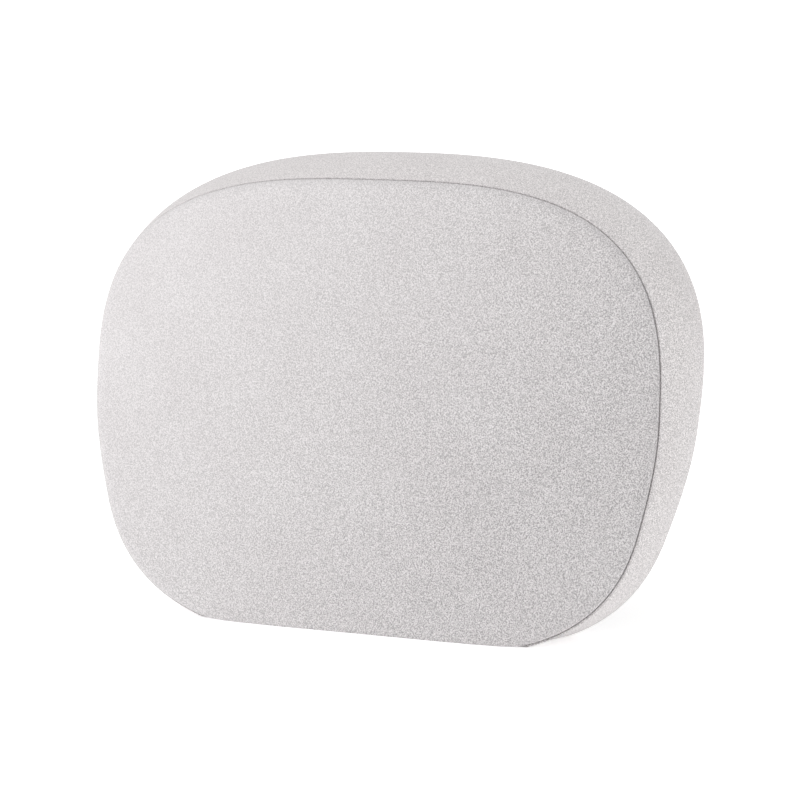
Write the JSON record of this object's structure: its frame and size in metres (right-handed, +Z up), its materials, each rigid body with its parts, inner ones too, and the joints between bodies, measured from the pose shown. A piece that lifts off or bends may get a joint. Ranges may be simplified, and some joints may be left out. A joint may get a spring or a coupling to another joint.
{
  "type": "chair headrest attachment",
  "caption": "Padded fabric headrest with a tilt hinge, a notched height stem and a push-button receiver that bolts to a chair back.",
  "frame": {"origin": "centre of the four chair bolt holes, on the receiver's mounting face", "axes": "+Z up, -Y towards the sitter's head, +Y towards the chair back, +X to the right seen from the front"},
  "size_m": [0.3048, 0.1182, 0.2228],
  "materials": {
    "cover_fabric": "short-nap woven upholstery",
    "foam": "open-cell moulded foam",
    "board": "bare birch plywood",
    "shell_plastic": "fine matt texture",
    "trim_plastic": "matt",
    "bearing_plastic": "natural acetal, satin",
    "cast_alloy": "die cast, satin powder coat",
    "stem_steel": "brushed",
    "zinc_steel": "bright zinc plate",
    "friction_facing": "bonded fibre, matt"
  },
  "bodies": {
    "receiver": {"receiver_base": "cast_alloy", "receiver_cover": "trim_plastic", "cover_screws": "zinc_steel", "upper_glide": "bearing_plastic"},
    "stem": {"height_stem": "stem_steel", "stem_shoe": "bearing_plastic", "hinge_yoke": "cast_alloy", "stem_screws": "zinc_steel", "hinge_axle": "stem_steel", "friction_discs": "friction_facing", "thrust_washer": "zinc_steel", "disc_springs": "stem_steel", "hinge_nut": "zinc_steel", "left_end_cap": "trim_plastic", "right_end_cap": "trim_plastic"},
    "pad": {"front_cover": "cover_fabric", "side_band": "cover_fabric", "foam_core": "foam", "pad_board": "board", "bracket_tnuts": "zinc_steel", "cover_staples": "zinc_steel", "rear_shell": "shell_plastic", "shell_screws": "zinc_steel", "pad_bracket": "cast_alloy", "bracket_screws": "zinc_steel", "hinge_bushes": "bearing_plastic"},
    "latch": {"release_latch": "stem_steel", "release_button": "trim_plastic", "latch_spring": "stem_steel"}
  },
  "joints": [
    {"name": "height_slide", "type": "slide", "parent": "receiver", "child": "stem", "axis": [0, 0, 1], "range_m": [0, 0.042]},
    {"name": "pad_tilt", "type": "hinge", "parent": "stem", "child": "pad", "pos_m": [0, -0.03, 0.055], "axis": [1, 0, 0], "range_deg": [-12, 20]},
    {"name": "latch_press", "type": "slide", "parent": "receiver", "child": "latch", "axis": [-1, 0, 0], "range_m": [0, 0.0032], "stiffness_N_per_m": 600, "springref_m": -0.002, "deforming": ["latch_spring"]}
  ]
}
